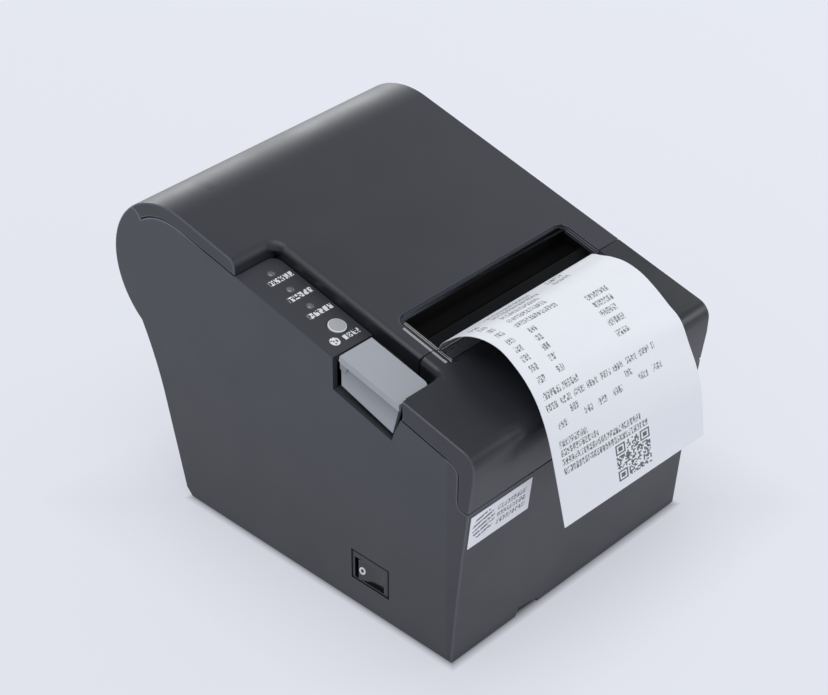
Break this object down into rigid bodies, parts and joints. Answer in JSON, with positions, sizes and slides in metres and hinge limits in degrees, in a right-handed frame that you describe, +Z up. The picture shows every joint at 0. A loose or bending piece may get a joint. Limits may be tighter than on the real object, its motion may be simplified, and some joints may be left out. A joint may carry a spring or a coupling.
{
  "type": "receipt printer",
  "caption": "Desktop thermal receipt printer with a hinged lid over a drop-in paper roll, a platen and cutter, a release lever, a feed button and a printed slip hanging from its slot.",
  "frame": {"origin": "centre of the bounding box in plan, on the table under the feet", "axes": "+X right seen from the front, -Y the front with the hanging receipt, +Z up"},
  "size_m": [0.125, 0.1934, 0.1285],
  "materials": {
    "blade_steel": "hardened steel",
    "board": "wound core board",
    "bronze": "sintered bronze",
    "cable": "flat cable film",
    "case": "satin fine-textured moulding",
    "ceramic": "glazed head substrate",
    "circuit": "solder-masked board",
    "component": "moulded components",
    "cover": "semi-gloss moulding",
    "foot_rubber": "matt rubber",
    "gear_plastic": "natural acetal",
    "grey_plastic": "satin light grey",
    "heatsink": "extruded aluminium",
    "inner_plastic": "plain moulding",
    "label": "printed film label",
    "lens": "clear lens, unlit",
    "paper": "thermal paper",
    "platen_rubber": "ground rubber",
    "shaft_steel": "ground steel",
    "socket_metal": "tinned shield",
    "steel": "zinc-plated sheet",
    "switch_plastic": "polished black"
  },
  "bodies": {
    "base": {"case_shell": "case", "front_cover": "cover", "bottom_plate": "inner_plastic", "rubber_feet": "foot_rubber", "case_screws": "steel", "io_bracket": "steel", "power_socket": "inner_plastic", "usb_socket": "socket_metal", "lan_socket": "socket_metal", "drawer_socket": "inner_plastic", "main_board": "circuit", "board_parts": "component", "roll_bucket": "inner_plastic", "paper_sensor": "component", "mech_frame": "steel", "print_head": "ceramic", "head_heatsink": "heatsink", "head_springs": "steel", "head_bridge": "steel", "head_cable": "cable", "stepper_motor": "steel", "idler_stud": "shaft_steel", "cutter_frame": "steel", "cutter_motor": "steel", "hinge_pins": "shaft_steel", "lever_pin": "shaft_steel", "panel_board": "circuit", "led_lenses": "lens", "switch_bezel": "case", "front_label": "label", "paper_web": "paper", "receipt": "paper"},
    "lid": {"lid_cover": "case", "lid_frame": "inner_plastic", "tear_bar": "blade_steel", "platen_guard": "inner_plastic", "platen_bushes": "bronze"},
    "platen": {"platen_roller": "platen_rubber", "platen_shaft": "shaft_steel", "platen_gear": "gear_plastic"},
    "idler": {"idler_gear": "gear_plastic"},
    "motor_rotor": {"motor_pinion": "bronze"},
    "latch": {"latch_shaft": "shaft_steel", "latch_hooks": "steel"},
    "lever": {"release_lever": "grey_plastic"},
    "button": {"feed_button": "grey_plastic"},
    "rocker": {"power_rocker": "switch_plastic"},
    "roll": {"paper_roll": "paper", "roll_core": "board"},
    "blade": {"cutter_blade": "blade_steel"},
    "cutter_drive": {"cutter_wheel": "platen_rubber"}
  },
  "joints": [
    {"name": "lid_hinge", "type": "hinge", "parent": "base", "child": "lid", "pos_m": [0, 0.08558, 0.11601], "axis": [-1, 0, 0], "range_deg": [0, 80]},
    {"name": "platen_spin", "type": "hinge", "parent": "lid", "child": "platen", "pos_m": [0, -0.0249, 0.0942], "axis": [1, 0, 0], "continuous": true},
    {"name": "idler_spin", "type": "hinge", "parent": "base", "child": "idler", "pos_m": [0, -0.02825, 0.07517], "axis": [1, 0, 0], "continuous": true},
    {"name": "motor_spin", "type": "hinge", "parent": "base", "child": "motor_rotor", "pos_m": [0, -0.03363, 0.0604], "axis": [1, 0, 0], "continuous": true},
    {"name": "lever_press", "type": "hinge", "parent": "base", "child": "lever", "pos_m": [0, -0.042, 0.092], "axis": [-1, 0, 0], "range_deg": [0, 6], "stiffness_Nm_per_rad": 0.08, "springref_deg": -8.59},
    {"name": "latch_turn", "type": "hinge", "parent": "base", "child": "latch", "pos_m": [0, -0.046, 0.078], "axis": [1, 0, 0], "range_deg": [0, 8]},
    {"name": "feed_press", "type": "slide", "parent": "base", "child": "button", "axis": [0, 0.2291, -0.9734], "range_m": [0, 0.0008], "stiffness_N_per_m": 300, "springref_m": -0.0006},
    {"name": "rocker_tilt", "type": "hinge", "parent": "base", "child": "rocker", "pos_m": [-0.0555, -0.03245, 0.0173], "axis": [0, 0, -1], "range_deg": [0, 18]},
    {"name": "roll_spin", "type": "hinge", "parent": "base", "child": "roll", "pos_m": [0, 0.038, 0.0754], "axis": [1, 0, 0], "continuous": true},
    {"name": "cutter_slide", "type": "slide", "parent": "base", "child": "blade", "axis": [0, 0.866, 0.5], "range_m": [0, 0.007]},
    {"name": "cutter_turn", "type": "hinge", "parent": "base", "child": "cutter_drive", "pos_m": [0, -0.0428, 0.08975], "axis": [-1, 0, 0], "range_deg": [0, 102]}
  ],
  "couplings": [
    {"joint": "idler_spin", "follows": "platen_spin", "ratio": -0.6},
    {"joint": "motor_spin", "follows": "platen_spin", "ratio": 2},
    {"joint": "latch_turn", "follows": "lever_press", "ratio": 1.3},
    {"joint": "cutter_turn", "follows": "cutter_slide", "rad_per_m": 250}
  ]
}
